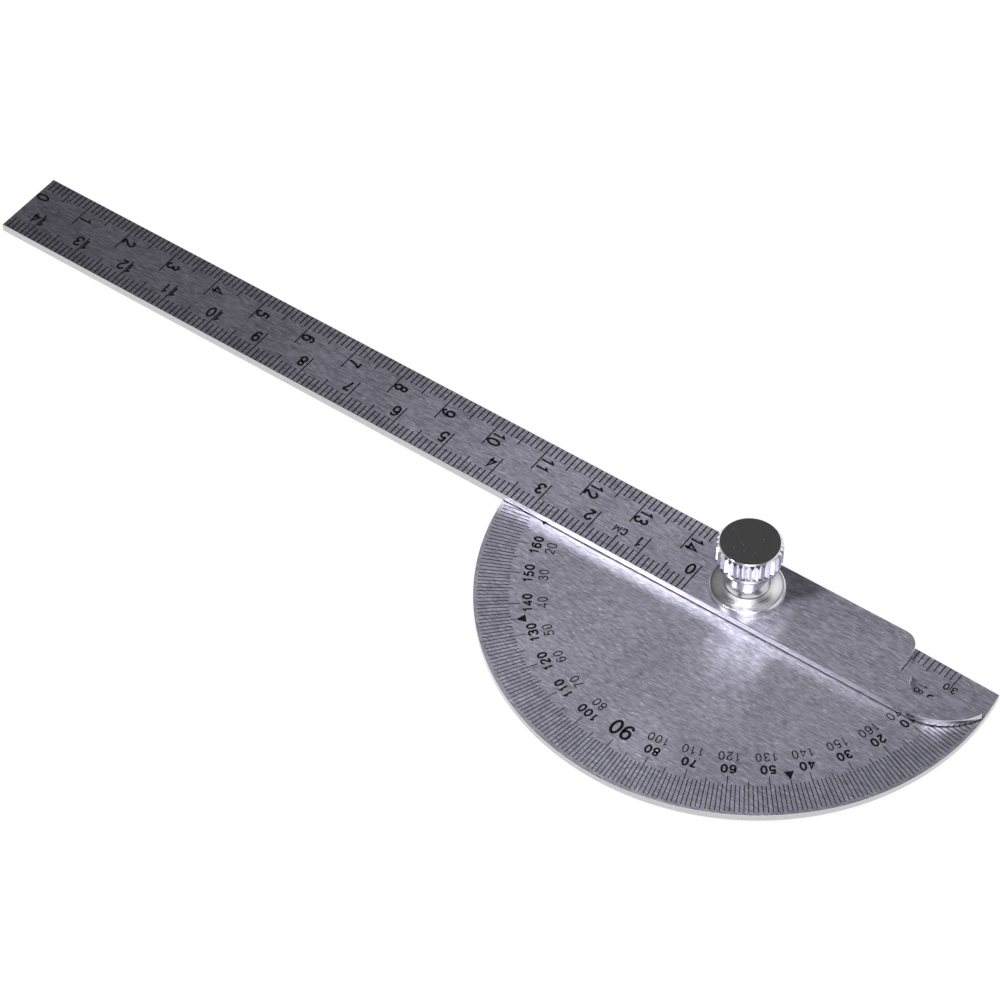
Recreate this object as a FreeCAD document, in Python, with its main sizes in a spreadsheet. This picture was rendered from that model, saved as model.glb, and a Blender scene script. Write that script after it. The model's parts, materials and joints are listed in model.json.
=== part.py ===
"""Bevel protractor: a half-round protractor head with a swinging steel rule, clamped by a thumb nut.

Frame, millimetres: the origin is on the pivot axis at the underside of the bolt's head, +X runs
along the rule towards its reading finger, +Y points at the head's straight edge, +Z points up.
"""
import FreeCAD, Part
import math
import os

import Sketcher

V = FreeCAD.Vector

# Driving dimensions, millimetres and degrees, each with the alias that the model uses.
DIMENSIONS = {
    # protractor head
    "plate_radius": 44.5,
    "plate_edge": 7.0,
    "plate_thick": 1.2,
    "plate_turn": -1.4,
    # rule
    "rule_upper": 7.4,
    "rule_lower": 6.6,
    "rule_tail": 153.5,
    "rule_shoulder": 28.8,
    "rule_shoulder_fillet": 3.0,
    "rule_thick": 1.5,
    "finger_radius": 11.3,
    "finger_centre": 34.0,
    "notch_radius": 2.65,
    "notch_centre": 34.0,
    # pivot bolt
    "head_radius": 4.5,
    "head_thick": 1.0,
    "head_chamfer": 0.35,
    "neck_width": 4.4,
    "neck_play": 0.05,
    "shank_radius": 2.0,
    "pivot_play": 0.05,
    "shank_length": 9.5,
    "tip_chamfer": 0.4,
    # clamp washer
    "washer_radius": 6.3,
    "washer_rim": 0.85,
    "washer_bevel": 0.3,
    "washer_crown": 1.7,
    "washer_seat": 3.9,
    # thumb nut
    "collar_radius": 3.8,
    "collar_length": 5.3,
    "lip_radius": 5.2,
    "lip_length": 0.7,
    "groove_radius": 4.9,
    "groove_length": 0.3,
    "knurl_radius": 5.5,
    "knurl_depth": 0.42,
    "knurl_land": 0.17,
    "knurl_overcut": 0.1,
    "knurl_length": 2.85,
    "knurl_teeth": 34,
    "bevel_width": 0.55,
    "bevel_length": 0.75,
    "crown_bevel": 0.1,
    "bore_depth": 8.2,
    # clearances
    "rule_gap": 0.05,
    "stack_gap": 0.02,
}

# Heights that follow from the stack, as spreadsheet formulas.
STACK = {
    "plate_bottom": "=head_thick",
    "plate_top": "=plate_bottom + plate_thick",
    "rule_bottom": "=plate_top + rule_gap",
    "rule_top": "=rule_bottom + rule_thick",
    "washer_bottom": "=rule_top + stack_gap",
    "washer_top": "=washer_bottom + washer_crown",
    "nut_bottom": "=washer_top + stack_gap",
    "lip_bottom": "=nut_bottom + collar_length",
    "groove_bottom": "=lip_bottom + lip_length",
    "knurl_bottom": "=groove_bottom + groove_length",
    "knurl_top": "=knurl_bottom + knurl_length",
    "nut_top": "=knurl_top + bevel_length",
    "shank_top": "=plate_top + shank_length",
    "bore_radius": "=shank_radius + pivot_play",
}


def make_sheet(doc):
    """Write the dimensions and the stack's formulas into a spreadsheet, one alias to a cell."""
    sheet = doc.addObject("Spreadsheet::Sheet", "Dimensions")
    for row, (alias, value) in enumerate({**DIMENSIONS, **STACK}.items(), start=1):
        sheet.set(f"A{row}", alias)
        sheet.set(f"B{row}", str(value))
        sheet.setAlias(f"B{row}", alias)
    doc.recompute()


def make_body(doc, label):
    """Add an empty PartDesign body for one piece."""
    body = doc.addObject("PartDesign::Body", label)
    body.Label = label
    return body


def origin_plane(body, role):
    """Return the body's own origin plane of that role, such as XY_Plane."""
    for feature in body.Origin.OriginFeatures:
        if feature.Role == role:
            return feature
    raise ValueError(f"no plane {role}")


def add_sketch(body, name, role, height=None):
    """Attach a sketch to an origin plane, lifted to the named height."""
    sketch = body.newObject("Sketcher::SketchObject", name)
    sketch.AttachmentSupport = [(origin_plane(body, role), "")]
    sketch.MapMode = "FlatFace"
    if height:
        sketch.setExpression("AttachmentOffset.Base.z", f"Dimensions.{height}")
    return sketch


def add_circle(sketch, radius, centre_x=None):
    """Draw a circle on the sketch's X axis with its radius bound to the sheet."""
    index = sketch.addGeometry(Part.Circle(V(0, 0, 0), V(0, 0, 1), 1.0), False)
    if centre_x:
        sketch.addConstraint(Sketcher.Constraint("PointOnObject", index, 3, -1))
        place = sketch.addConstraint(Sketcher.Constraint("DistanceX", -1, 1, index, 3, 1.0))
        sketch.setExpression(f"Constraints[{place}]", centre_x)
    else:
        sketch.addConstraint(Sketcher.Constraint("Coincident", index, 3, -1, 1))
    size = sketch.addConstraint(Sketcher.Constraint("Radius", index, 1.0))
    sketch.setExpression(f"Constraints[{size}]", radius)


def add_polygon(sketch, points):
    """Draw a closed outline whose corners are bound to pairs of expressions.

    A corner's coordinates are expressions on the sheet, or 0 for a corner on an axis. Each corner
    is also given its starting place, because the solver works from there.
    """
    places = [(evaluate(sketch, x), evaluate(sketch, y)) for x, y in points]
    count = len(points)
    for index in range(count):
        start = V(*places[index], 0)
        end = V(*places[(index + 1) % count], 0)
        sketch.addGeometry(Part.LineSegment(start, end), False)
    for index in range(count):
        after = (index + 1) % count
        sketch.addConstraint(Sketcher.Constraint("Coincident", index, 2, after, 1))
        pin_point(sketch, index, points[index], places[index])


def evaluate(sketch, expression):
    """Work out an expression on the sheet as a plain number."""
    if expression == 0:
        return 0.0
    return float(sketch.evalExpression(expression))


def pin_point(sketch, geometry, expressions, place):
    """Bind the X and Y of an edge's start to the sheet."""
    for axis, expression, value in zip("XY", expressions, place):
        if expression == 0:
            line = -2 if axis == "X" else -1
            sketch.addConstraint(Sketcher.Constraint("PointOnObject", geometry, 1, line))
            continue
        number = sketch.addConstraint(
            Sketcher.Constraint(f"Distance{axis}", -1, 1, geometry, 1, value))
        sketch.setExpression(f"Constraints[{number}]", expression)


def add_pad(body, name, sketch, length):
    """Extrude a sketch upwards by an expression."""
    pad = body.newObject("PartDesign::Pad", name)
    pad.Profile = sketch
    pad.setExpression("Length", length)


def add_cut(body, name, sketch):
    """Cut a sketch right through the body, both ways, and check that it took something away."""
    before = body.Shape.Volume
    pocket = body.newObject("PartDesign::Pocket", name)
    pocket.Profile = sketch
    pocket.Type = "ThroughAll"
    pocket.Midplane = True
    body.Document.recompute()
    if body.Shape.Volume >= before - 1e-6:
        raise ValueError(f"{name} cuts nothing")


def add_turning(body, name, points):
    """Revolve a half profile, given as radius and height expressions, about the pivot axis."""
    sketch = add_sketch(body, f"{name}_profile", "XZ_Plane")
    add_polygon(sketch, points)
    turning = body.newObject("PartDesign::Revolution", name)
    turning.Profile = sketch
    turning.ReferenceAxis = (sketch, ["V_Axis"])
    turning.Angle = 360.0
    body.Document.recompute()


def cell(alias):
    """Name a cell of the sheet in an expression."""
    return f"Dimensions.{alias}"


def make_head(doc):
    """Make the half-round protractor head with its square hole for the bolt's neck."""
    body = make_body(doc, "protractor_head")
    disc = add_sketch(body, "head_disc", "XY_Plane", "plate_bottom")
    add_circle(disc, cell("plate_radius"))
    add_pad(body, "head_blank", disc, cell("plate_thick"))
    doc.recompute()

    beyond = add_sketch(body, "head_beyond_edge", "XY_Plane", "plate_bottom")
    side = cell("plate_radius")
    edge = cell("plate_edge")
    add_polygon(beyond, [(f"-{side}", edge), (side, edge), (side, side), (f"-{side}", side)])
    add_cut(body, "head_straight_edge", beyond)

    hole = add_sketch(body, "head_square", "XY_Plane", "plate_bottom")
    half = f"({cell('neck_width')} / 2 + {cell('neck_play')})"
    add_polygon(hole, [(f"-{half}", f"-{half}"), (half, f"-{half}"), (half, half), (f"-{half}", half)])
    add_cut(body, "head_square_hole", hole)
    body.Placement.Rotation = FreeCAD.Rotation(V(0, 0, 1), DIMENSIONS["plate_turn"])
    body.setExpression("Placement.Rotation.Angle", cell("plate_turn"))
    return body


def draw_rule_outline(sketch):
    """Draw the rule's outline: a square tail, a shoulder, and a finger that ends in one arc.

    The finger's reading edge lies on a line through the pivot, so it reads the head's degrees, and
    its outer end is an arc that runs into the rule's lower edge.
    """
    upper = cell("rule_upper")
    lower = "-" + cell("rule_lower")
    tail = "-" + cell("rule_tail")
    shoulder = cell("rule_shoulder")
    centre = cell("finger_centre")
    reach = f"sqrt({cell('finger_radius')}^2 - ({cell('finger_radius')} - {cell('rule_lower')})^2)"
    corners = [
        (tail, lower),
        (centre, lower),
        (f"{centre} + {reach}", 0),
        (shoulder, 0),
        (shoulder, upper),
        (tail, upper),
    ]
    places = [V(evaluate(sketch, x), evaluate(sketch, y), 0) for x, y in corners]
    radius = DIMENSIONS["finger_radius"]
    rise = radius - DIMENSIONS["rule_lower"]
    for index, start in enumerate(places):
        end = places[(index + 1) % len(places)]
        if index == 1:
            circle = Part.Circle(V(start.x, start.y + radius, 0), V(0, 0, 1), radius)
            opening = math.asin(-rise / radius)
            sketch.addGeometry(Part.ArcOfCircle(circle, -math.pi / 2, opening), False)
        else:
            sketch.addGeometry(Part.LineSegment(start, end), False)
    for index in range(len(corners)):
        after = (index + 1) % len(corners)
        sketch.addConstraint(Sketcher.Constraint("Coincident", index, 2, after, 1))
        pin_point(sketch, index, corners[index], (places[index].x, places[index].y))
    size = sketch.addConstraint(Sketcher.Constraint("Radius", 1, radius))
    sketch.setExpression(f"Constraints[{size}]", cell("finger_radius"))


def make_rule(doc):
    """Make the swinging rule with its shoulder, reading finger, window notch and pivot hole."""
    body = make_body(doc, "rule")
    outline = add_sketch(body, "rule_outline", "XY_Plane", "rule_bottom")
    draw_rule_outline(outline)
    add_pad(body, "rule_blank", outline, cell("rule_thick"))
    doc.recompute()

    notch = add_sketch(body, "rule_notch", "XY_Plane", "rule_bottom")
    add_circle(notch, cell("notch_radius"), cell("notch_centre"))
    add_cut(body, "rule_window", notch)

    hole = add_sketch(body, "rule_pivot", "XY_Plane", "rule_bottom")
    add_circle(hole, cell("bore_radius"))
    add_cut(body, "rule_pivot_hole", hole)
    round_shoulder(doc, body)
    return body


def round_shoulder(doc, body):
    """Round the rule's upright corner where its upper edge meets the shoulder."""
    corner_x = DIMENSIONS["rule_shoulder"]
    corner_y = DIMENSIONS["rule_upper"]
    for number, edge in enumerate(body.Shape.Edges, start=1):
        middle = edge.CenterOfMass
        if abs(middle.x - corner_x) < 0.01 and abs(middle.y - corner_y) < 0.01:
            base = body.Tip
            fillet = body.newObject("PartDesign::Fillet", "rule_shoulder_round")
            fillet.Base = (base, [f"Edge{number}"])
            fillet.setExpression("Radius", cell("rule_shoulder_fillet"))
            doc.recompute()
            return
    raise ValueError("the shoulder's corner is missing")


def make_bolt(doc):
    """Make the pivot bolt: a low round head, a square neck in the head's hole, and the shank."""
    body = make_body(doc, "pivot_bolt")
    head = cell("head_radius")
    bevel = cell("head_chamfer")
    shank = cell("shank_radius")
    tip = cell("tip_chamfer")
    add_turning(body, "bolt_turning", [
        (0, 0),
        (f"{head} - {bevel}", 0),
        (head, bevel),
        (head, cell("head_thick")),
        (shank, cell("head_thick")),
        (shank, f"{cell('shank_top')} - {tip}"),
        (f"{shank} - {tip}", cell("shank_top")),
        (0, cell("shank_top")),
    ])
    neck = add_sketch(body, "bolt_neck", "XY_Plane", "plate_bottom")
    half = cell("neck_width") + " / 2"
    add_polygon(neck, [(f"-{half}", f"-{half}"), (half, f"-{half}"), (half, half), (f"-{half}", half)])
    add_pad(body, "bolt_square_neck", neck, cell("plate_thick"))
    body.Placement.Rotation = FreeCAD.Rotation(V(0, 0, 1), DIMENSIONS["plate_turn"])
    body.setExpression("Placement.Rotation.Angle", cell("plate_turn"))
    return body


def make_washer(doc):
    """Make the turned clamp washer: a flat underside, a bevelled rim and a shallow cone on top."""
    body = make_body(doc, "clamp_washer")
    base = cell("washer_bottom")
    rim = cell("washer_radius")
    bevel = cell("washer_bevel")
    add_turning(body, "washer_turning", [
        (cell("bore_radius"), base),
        (rim, base),
        (rim, f"{base} + {cell('washer_rim')}"),
        (f"{rim} - {bevel}", f"{base} + {cell('washer_rim')} + {bevel}"),
        (cell("washer_seat"), cell("washer_top")),
        (cell("bore_radius"), cell("washer_top")),
    ])
    return body


def make_nut(doc):
    """Make the thumb nut: a plain collar, a grooved lip, a knurled head and a blind hole."""
    body = make_body(doc, "thumb_nut")
    bore = cell("bore_radius")
    knurl = cell("knurl_radius")
    bevel = cell("crown_bevel")
    crown = f"{knurl} - {cell('bevel_width')}"
    add_turning(body, "nut_turning", [
        (0, f"{cell('nut_bottom')} + {cell('bore_depth')}"),
        (bore, f"{cell('nut_bottom')} + {cell('bore_depth')}"),
        (bore, cell("nut_bottom")),
        (cell("collar_radius"), cell("nut_bottom")),
        (cell("collar_radius"), cell("lip_bottom")),
        (cell("lip_radius"), cell("lip_bottom")),
        (cell("lip_radius"), cell("groove_bottom")),
        (cell("groove_radius"), cell("groove_bottom")),
        (cell("groove_radius"), cell("knurl_bottom")),
        (knurl, cell("knurl_bottom")),
        (knurl, cell("knurl_top")),
        (f"{crown} + {bevel}", f"{cell('nut_top')} - {bevel}"),
        (crown, cell("nut_top")),
        (0, cell("nut_top")),
    ])
    cut_knurl(doc, body)
    return body


def cut_knurl(doc, body):
    """Cut one V groove down the knurled band and repeat it around the axis."""
    before = body.Shape.Volume
    groove = add_sketch(body, "knurl_groove", "XY_Plane", "nut_top")
    outer = cell("knurl_radius")
    depth = cell("knurl_depth")
    clear = cell("knurl_overcut")
    mouth = f"(pi * {outer} / {cell('knurl_teeth')} - {cell('knurl_land')} / 2)"
    half = f"{mouth} * ({depth} + {clear}) / {depth}"
    add_polygon(groove, [
        (f"{outer} - {depth}", 0),
        (f"{outer} + {clear}", half),
        (f"{outer} + {clear}", f"-{half}"),
    ])
    pocket = body.newObject("PartDesign::Pocket", "knurl_cut")
    pocket.Profile = groove
    pocket.setExpression("Length", f"{cell('nut_top')} - {cell('knurl_bottom')}")
    doc.recompute()
    single = before - body.Shape.Volume
    if single <= 0.01:
        raise ValueError("the knurl's groove cuts nothing")

    pattern = body.newObject("PartDesign::PolarPattern", "knurl_pattern")
    pattern.Originals = [pocket]
    pattern.Axis = (groove, ["N_Axis"])
    pattern.Angle = 360.0
    pattern.setExpression("Occurrences", cell("knurl_teeth"))
    body.Tip = pattern
    doc.recompute()
    if before - body.Shape.Volume < single * (DIMENSIONS["knurl_teeth"] - 1):
        raise ValueError("the knurl's grooves aren't all cut")


def check_document(doc, bodies):
    """Stop if an object failed, or if a piece isn't one valid solid."""
    for item in doc.Objects:
        if "Invalid" in item.State or "Error" in item.State:
            raise ValueError(f"{item.Label} is {item.State}")
    for body in bodies:
        shape = body.Shape
        if shape.isNull() or not shape.isValid() or len(shape.Solids) != 1:
            raise ValueError(f"{body.Label} isn't one valid solid")


def check_clearances(bodies):
    """Stop if two pieces overlap as they lie."""
    for index, first in enumerate(bodies):
        for second in bodies[index + 1:]:
            shared = first.Shape.common(second.Shape).Volume
            if shared > 1e-4:
                raise ValueError(f"{first.Label} and {second.Label} share {shared:.4f} mm3")


def main():
    """Build the document, check it and write one STEP file for each piece."""
    os.makedirs("parts", exist_ok=True)
    doc = FreeCAD.newDocument("bevel_protractor")
    make_sheet(doc)
    bodies = [make_head(doc), make_rule(doc), make_bolt(doc), make_washer(doc), make_nut(doc)]
    doc.recompute()
    check_document(doc, bodies)
    check_clearances(bodies)
    for body in bodies:
        body.Shape.exportStep(f"parts/{body.Label}.step")
        print(f"{body.Label}: {body.Shape.Volume:.1f} mm3, {body.Shape.BoundBox}")


main()
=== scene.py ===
"""Bevel protractor: the finishes, the engraved scales and the turned fittings.

Everything is in metres, in the part's own frame: the pivot is the Z axis, +X runs along the rule
to its reading finger, and +Y points at the head's straight edge.
"""
import json
import logging
import math
from dataclasses import dataclass
from enum import Enum
from typing import Callable, Iterable, Optional, Sequence

import bmesh
import bpy
from mathutils import Matrix, Vector

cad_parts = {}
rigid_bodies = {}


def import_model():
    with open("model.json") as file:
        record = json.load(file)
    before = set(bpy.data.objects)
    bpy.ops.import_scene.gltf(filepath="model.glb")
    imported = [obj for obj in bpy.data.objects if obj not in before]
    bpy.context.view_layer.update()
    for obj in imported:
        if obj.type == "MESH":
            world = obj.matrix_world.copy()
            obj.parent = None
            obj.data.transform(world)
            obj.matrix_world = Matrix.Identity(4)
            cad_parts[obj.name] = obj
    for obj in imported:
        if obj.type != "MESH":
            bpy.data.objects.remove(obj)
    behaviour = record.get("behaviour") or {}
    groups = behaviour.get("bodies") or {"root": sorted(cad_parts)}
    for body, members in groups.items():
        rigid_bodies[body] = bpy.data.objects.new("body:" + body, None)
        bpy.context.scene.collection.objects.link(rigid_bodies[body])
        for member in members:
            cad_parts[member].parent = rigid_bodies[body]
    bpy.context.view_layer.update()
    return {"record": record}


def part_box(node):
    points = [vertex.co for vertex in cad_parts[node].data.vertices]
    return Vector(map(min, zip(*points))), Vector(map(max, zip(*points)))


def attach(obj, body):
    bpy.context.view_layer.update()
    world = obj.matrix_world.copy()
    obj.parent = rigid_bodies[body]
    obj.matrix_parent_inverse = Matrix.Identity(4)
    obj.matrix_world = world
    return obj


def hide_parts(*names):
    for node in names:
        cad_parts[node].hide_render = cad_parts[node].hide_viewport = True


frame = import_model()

LOG = logging.getLogger("bevel_protractor")
MM = 0.001
PIVOT = (0.0, 0.0)
UP = Vector((0.0, 0.0, 1.0))
WHITE = (1.0, 1.0, 1.0, 1.0)
Point = tuple[float, float]
Direction = tuple[float, float, float]
Colour = tuple[float, float, float]


# ---------------------------------------------------------------- shader groups and finishes


class NodeTree:
    """A thin helper that adds, sets and joins nodes in one tree."""

    def __init__(self, tree: bpy.types.NodeTree) -> None:
        """Keep the tree that the helper works in."""
        self.tree = tree

    def add(self, kind: str, inputs: Optional[dict[str, object]] = None,
            **properties: object) -> bpy.types.Node:
        """Add a node, set its properties and feed its inputs.

        Args:
            kind: The node's type name.
            inputs: Input names, each with a value or an output socket.
            **properties: The node's own properties, such as operation.

        Returns:
            The new node.
        """
        node = self.tree.nodes.new(kind)
        for name, value in properties.items():
            setattr(node, name, value)
        self.feed(node, inputs or {})
        return node

    def feed(self, node: bpy.types.Node, inputs: dict[str, object]) -> None:
        """Set or join a node's inputs by their names."""
        for name, value in inputs.items():
            self.plug(node.inputs[name], value)

    def plug(self, socket: bpy.types.NodeSocket, value: object) -> None:
        """Join an output to an input, or set the input's own value.

        Args:
            socket: The input.
            value: An output socket, or a plain value.
        """
        if isinstance(value, bpy.types.NodeSocket):
            self.tree.links.new(value, socket)
        else:
            socket.default_value = value

    def calculate(self, operation: str, *terms: object, clamp: bool = False) -> bpy.types.NodeSocket:
        """Add a Math node.

        Args:
            operation: Such as MULTIPLY.
            *terms: Numbers or sockets, in order.
            clamp: Whether the result stays within 0 and 1.

        Returns:
            The result's socket.
        """
        node = self.add("ShaderNodeMath", operation=operation, use_clamp=clamp)
        for socket, term in zip(node.inputs, terms):
            self.plug(socket, term)
        return node.outputs[0]

    def plus(self, first: object, second: object) -> bpy.types.NodeSocket:
        """Return the sum of two values."""
        return self.calculate("ADD", first, second)

    def times(self, first: object, second: object) -> bpy.types.NodeSocket:
        """Return the product of two values."""
        return self.calculate("MULTIPLY", first, second)

    def weigh(self, first: object, share: object, second: object, rest: object) -> bpy.types.NodeSocket:
        """Return the sum of two values, each times its own share."""
        return self.plus(self.times(first, share), self.times(second, rest))

    def spread(self, value: object, low: float, high: float, to_low: float = 0.0,
               to_high: float = 1.0) -> bpy.types.NodeSocket:
        """Map a value's range smoothly onto another range.

        Args:
            value: The socket to map.
            low: Where the result starts to rise.
            high: Where it stops.
            to_low: The result at low.
            to_high: The result at high.

        Returns:
            The mapped value's socket.
        """
        node = self.add("ShaderNodeMapRange", {"Value": value, "From Min": low, "From Max": high,
                                               "To Min": to_low, "To Max": to_high},
                        interpolation_type="SMOOTHSTEP")
        return node.outputs["Result"]

    def noise(self, vector: object, scale: float, detail: float) -> bpy.types.NodeSocket:
        """Add a noise and return its value's socket."""
        node = self.add("ShaderNodeTexNoise", {"Vector": vector, "Scale": scale, "Detail": detail})
        return node.outputs["Fac"]

    def axes(self, vector: object) -> list[bpy.types.NodeSocket]:
        """Split a vector and return its X, Y and Z sockets."""
        return list(self.add("ShaderNodeSeparateXYZ", {"Vector": vector}).outputs)

    def join(self, x: object = 0.0, y: object = 0.0, z: object = 0.0) -> bpy.types.NodeSocket:
        """Join three values and return the vector's socket."""
        return self.add("ShaderNodeCombineXYZ", {"X": x, "Y": y, "Z": z}).outputs[0]

    def vector_math(self, operation: str, vector: object,
                    other: Sequence[float]) -> bpy.types.NodeSocket:
        """Add a Vector Math node with a fixed second vector.

        Args:
            operation: ADD, MULTIPLY or DOT_PRODUCT.
            vector: The first vector's socket.
            other: The second vector.

        Returns:
            The result's socket.
        """
        node = self.add("ShaderNodeVectorMath", operation=operation)
        self.plug(node.inputs[0], vector)
        self.plug(node.inputs[1], other)
        return node.outputs["Value" if operation == "DOT_PRODUCT" else "Vector"]

    def mix_colour(self, factor: object, first: object, second: object) -> bpy.types.NodeSocket:
        """Mix two colours.

        Args:
            factor: How much of the second colour shows.
            first: A colour or a socket.
            second: A colour or a socket.

        Returns:
            The mixed colour's socket.
        """
        node = self.add("ShaderNodeMix", data_type="RGBA")
        for name, value in (("Factor_Float", factor), ("A_Color", first), ("B_Color", second)):
            socket = next(s for s in node.inputs if s.identifier == name)
            self.plug(socket, (*value, 1.0) if isinstance(value, tuple) else value)
        return next(s for s in node.outputs if s.identifier == "Result_Color")


# The brushing is measured in hairs, and its ranges are parts of the noise's own 0 to 1.
FINE_SHARE = 0.65
COARSE_STRETCH = (0.6, 0.33, 0.33)
HAIR_RANGE = (0.34, 0.66)
DASH_STRETCH = (0.9, 0.42, 0.42)
DASH_OFFSET = (31.7, 11.3, 5.1)
DASH_RANGE = (0.63, 0.74)
DASH_HEIGHT = 0.3
CLOUD_SCALE = 55.0
CLOUD_SHARE = 0.08
SOFT_RANGE = (0.3, 0.7)
SPECK_SCALE = 1300.0
SPECK_RANGE = (0.1, 0.04)
SPECK_ROUGHNESS = 0.35
RELIEF_DEPTH = 0.01 * MM


def make_group(name: str, inputs: dict[str, Optional[float]], outputs: Sequence[str],
               fill: Callable[[NodeTree, bpy.types.Node, bpy.types.Node], None]) -> bpy.types.NodeTree:
    """Make a shader node group.

    Args:
        name: The group's name.
        inputs: Socket names, each with a default number, or None for a vector.
        outputs: The names of its outputs, which are numbers.
        fill: Fills the tree between the group's input and output nodes.

    Returns:
        The group's node tree.
    """
    group = bpy.data.node_groups.new(name, "ShaderNodeTree")
    for label, default in inputs.items():
        kind = "NodeSocketVector" if default is None else "NodeSocketFloat"
        socket = group.interface.new_socket(label, in_out="INPUT", socket_type=kind)
        if default is not None:
            socket.default_value = default
    for label in outputs:
        group.interface.new_socket(label, in_out="OUTPUT", socket_type="NodeSocketFloat")
    tree = NodeTree(group)
    fill(tree, tree.add("NodeGroupInput"), tree.add("NodeGroupOutput"))
    return group


def fill_brushing(tree: NodeTree, source: bpy.types.Node, result: bpy.types.Node) -> None:
    """Fill the brushing group: long hair lines with short bright scratches and soft clouds.

    Args:
        tree: The group's tree.
        source: The group's input node, with Vector, Hair Width, Hair Length and Scratches.
        result: The group's output node, with Hair, Scratch, Cloud and Height.
    """
    vector, width = source.outputs["Vector"], source.outputs["Hair Width"]
    x, y, z = tree.axes(vector)
    hairs = tree.join(tree.calculate("DIVIDE", x, source.outputs["Hair Length"]),
                      tree.calculate("DIVIDE", y, width), tree.calculate("DIVIDE", z, width))
    fine = tree.noise(hairs, 1.0, 3.0)
    coarse = tree.noise(tree.vector_math("MULTIPLY", hairs, COARSE_STRETCH), 1.0, 1.0)
    lines = tree.weigh(fine, FINE_SHARE, coarse, 1.0 - FINE_SHARE)
    spot = tree.vector_math("ADD", tree.vector_math("MULTIPLY", hairs, DASH_STRETCH), DASH_OFFSET)
    dashes = tree.noise(spot, 1.0, 1.5)
    tree.feed(result, {
        "Hair": tree.spread(lines, *HAIR_RANGE),
        "Scratch": tree.times(tree.spread(dashes, *DASH_RANGE), source.outputs["Scratches"]),
        "Cloud": tree.spread(tree.noise(vector, CLOUD_SCALE, 3.0), *SOFT_RANGE),
        "Height": tree.plus(lines, tree.times(dashes, DASH_HEIGHT))})


def fill_turning(tree: NodeTree, source: bpy.types.Node, result: bpy.types.Node) -> None:
    """Fill the turning group: rings that a lathe tool leaves about the pivot, and fine dust.

    Args:
        tree: The group's tree.
        source: The group's input node, with Vector and Ring Width.
        result: The group's output node, with Ring, Speck and Height.
    """
    vector, width = source.outputs["Vector"], source.outputs["Ring Width"]
    x, y, z = tree.axes(vector)
    radius = tree.calculate("SQRT", tree.weigh(x, x, y, y))
    section = tree.join(tree.calculate("DIVIDE", radius, width), tree.calculate("DIVIDE", z, width))
    ring = tree.noise(section, 1.0, 2.0)
    specks = tree.add("ShaderNodeTexVoronoi", {"Vector": vector, "Scale": SPECK_SCALE}, feature="F1")
    tree.feed(result, {
        "Ring": tree.spread(ring, *SOFT_RANGE),
        "Speck": tree.spread(specks.outputs["Distance"], *SPECK_RANGE),
        "Height": ring})


class FinishBook:
    """Builds the shader groups once and starts each finish's material on them."""

    def __init__(self) -> None:
        """Build the shared groups."""
        self.brushing = make_group(
            "brushing",
            {"Vector": None, "Hair Width": 0.05 * MM, "Hair Length": 1.5 * MM, "Scratches": 1.0},
            ("Hair", "Scratch", "Cloud", "Height"), fill_brushing)
        self.turning = make_group("turning", {"Vector": None, "Ring Width": 0.05 * MM},
                                  ("Ring", "Speck", "Height"), fill_turning)

    @staticmethod
    def start(name: str, pattern: bpy.types.NodeTree, sizes: dict[str, float],
              ) -> tuple[bpy.types.Material, NodeTree, bpy.types.Node, bpy.types.Node]:
        """Make a material with its shader and a shared pattern on the object's coordinates.

        Args:
            name: The material's name.
            pattern: The shared group.
            sizes: The group's other inputs.

        Returns:
            The material, its tree, its Principled shader and the pattern's node.
        """
        material = bpy.data.materials.new(name)
        material.use_nodes = True
        tree = NodeTree(material.node_tree)
        shader = material.node_tree.nodes["Principled BSDF"]
        coordinates = tree.add("ShaderNodeTexCoord").outputs["Object"]
        node = tree.add("ShaderNodeGroup", {"Vector": coordinates, **sizes}, node_tree=pattern)
        return material, tree, shader, node

    @staticmethod
    def relief(tree: NodeTree, shader: bpy.types.Node, pattern: bpy.types.Node,
               strength: float) -> None:
        """Give a shader the bump of its pattern.

        Args:
            tree: The material's tree.
            shader: The Principled shader.
            pattern: The pattern's node, with a Height.
            strength: The bump's strength.
        """
        bump = tree.add("ShaderNodeBump", {"Strength": strength, "Distance": RELIEF_DEPTH,
                                           "Height": pattern.outputs["Height"]})
        tree.feed(shader, {"Normal": bump.outputs["Normal"]})


@dataclass(frozen=True)
class BrushedSteel:
    """Satin stainless steel, brushed lengthways."""

    name: str
    dark: Colour
    light: Colour
    scratch: Colour
    roughness: tuple[float, float]
    anisotropy: float = 0.0
    hair_width: float = 0.10 * MM
    hair_length: float = 1.1 * MM
    scratches: float = 0.6
    relief: float = 0.2

    def make(self, book: FinishBook) -> bpy.types.Material:
        """Make the material.

        Args:
            book: The book with the shared brushing group.

        Returns:
            The material.
        """
        material, tree, shader, grain = book.start(self.name, book.brushing, {
            "Hair Width": self.hair_width, "Hair Length": self.hair_length,
            "Scratches": self.scratches})
        cloud = grain.outputs["Cloud"]
        shade = tree.weigh(grain.outputs["Hair"], 1.0 - CLOUD_SHARE, cloud, CLOUD_SHARE)
        body = tree.mix_colour(shade, self.dark, self.light)
        tree.feed(shader, {
            "Base Color": tree.mix_colour(grain.outputs["Scratch"], body, self.scratch),
            "Roughness": tree.spread(cloud, 0.0, 1.0, *self.roughness),
            "Metallic": 1.0})
        if self.anisotropy:
            across = tree.add("ShaderNodeVectorTransform", {"Vector": (0.0, 1.0, 0.0)},
                              vector_type="VECTOR", convert_from="OBJECT", convert_to="WORLD")
            tree.feed(shader, {"Anisotropic": self.anisotropy, "Tangent": across.outputs["Vector"]})
        book.relief(tree, shader, grain, self.relief)
        return material


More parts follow.
